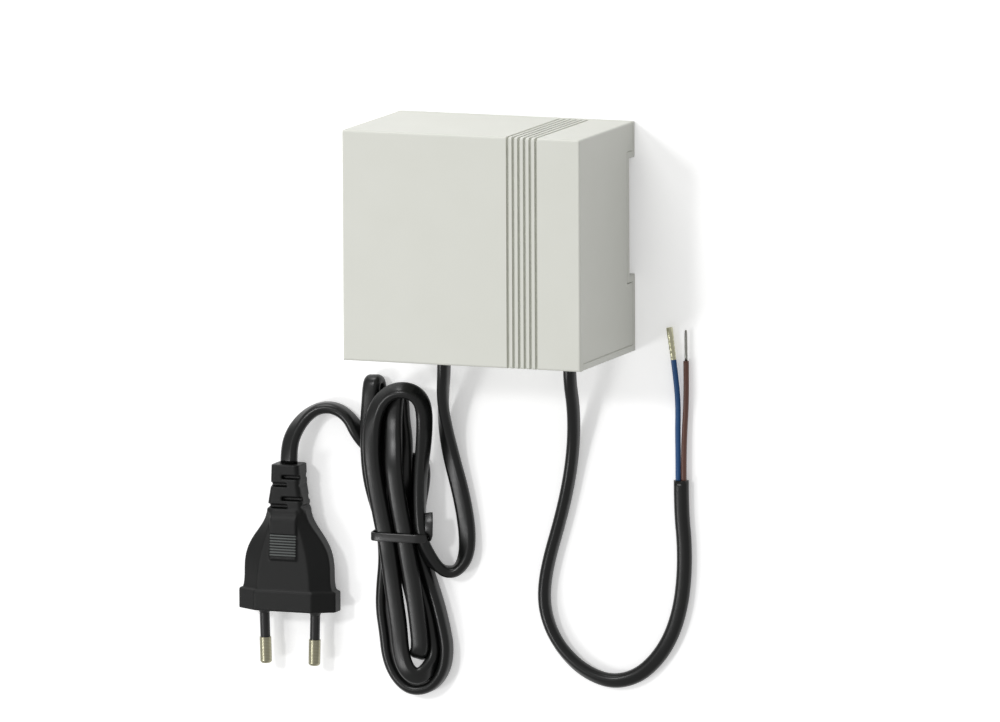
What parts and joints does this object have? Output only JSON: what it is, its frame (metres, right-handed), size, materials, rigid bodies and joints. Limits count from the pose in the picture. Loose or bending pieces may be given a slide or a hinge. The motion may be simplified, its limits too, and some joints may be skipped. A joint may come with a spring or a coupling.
{
  "type": "compact mains transformer",
  "caption": "Box-shaped transformer for a rail or a wall, with a tied flat mains lead and plug, and a round output cable with bare wire ends.",
  "frame": {"origin": "centre of the flat mounting face at the back of the box", "axes": "+X to the right of the front, +Y to its top, +Z out of the front; the part lies on its back"},
  "size_m": [0.1613, 0.199, 0.053],
  "materials": {
    "housing": "satin moulded surface",
    "screw_steel": "zinc plated",
    "core_steel": "varnished sheet stack",
    "bobbin": "moulded",
    "solder_pin": "tinned",
    "copper_wire": "enamelled copper",
    "coil_tape": "polyester tape",
    "fuse_case": "plain",
    "black_cord": "soft satin sheath",
    "black_bush": "matt",
    "clamp_plastic": "moulded",
    "tie_strap": "satin",
    "black_plug": "moulded satin",
    "sleeve": "satin",
    "contact_metal": "nickel plated",
    "blue_insulation": "satin",
    "brown_insulation": "satin",
    "ferrule_metal": "plated"
  },
  "bodies": {
    "root": {"housing_cover": "housing", "housing_base": "housing", "cover_screws": "screw_steel", "clamp_screws": "screw_steel", "core_screws": "screw_steel", "core_e_stack": "core_steel", "core_i_stack": "core_steel", "coil_bobbin": "bobbin", "bobbin_pins": "solder_pin", "brown_pin": "solder_pin", "primary_winding": "copper_wire", "secondary_winding": "copper_wire", "primary_tape": "coil_tape", "secondary_tape": "coil_tape", "thermal_fuse": "fuse_case", "mains_cord": "black_cord", "cord_hank": "black_cord", "plug_lead": "black_cord", "mains_cord_tail": "black_cord", "output_cable": "black_cord", "output_cable_tail": "black_cord", "mains_grommet": "black_bush", "output_grommet": "black_bush", "mains_clamp": "clamp_plastic", "output_clamp": "clamp_plastic", "hank_tie": "tie_strap", "plug_body": "black_plug", "pin_sleeve_left": "sleeve", "pin_sleeve_right": "sleeve", "plug_pin_left": "contact_metal", "plug_pin_right": "contact_metal", "blue_wire": "blue_insulation", "mains_wire_blue": "blue_insulation", "output_wire_blue": "blue_insulation", "brown_wire": "brown_insulation", "mains_wire_brown": "brown_insulation", "output_wire_brown": "brown_insulation", "blue_ferrule": "ferrule_metal"}
  },
  "joints": []
}
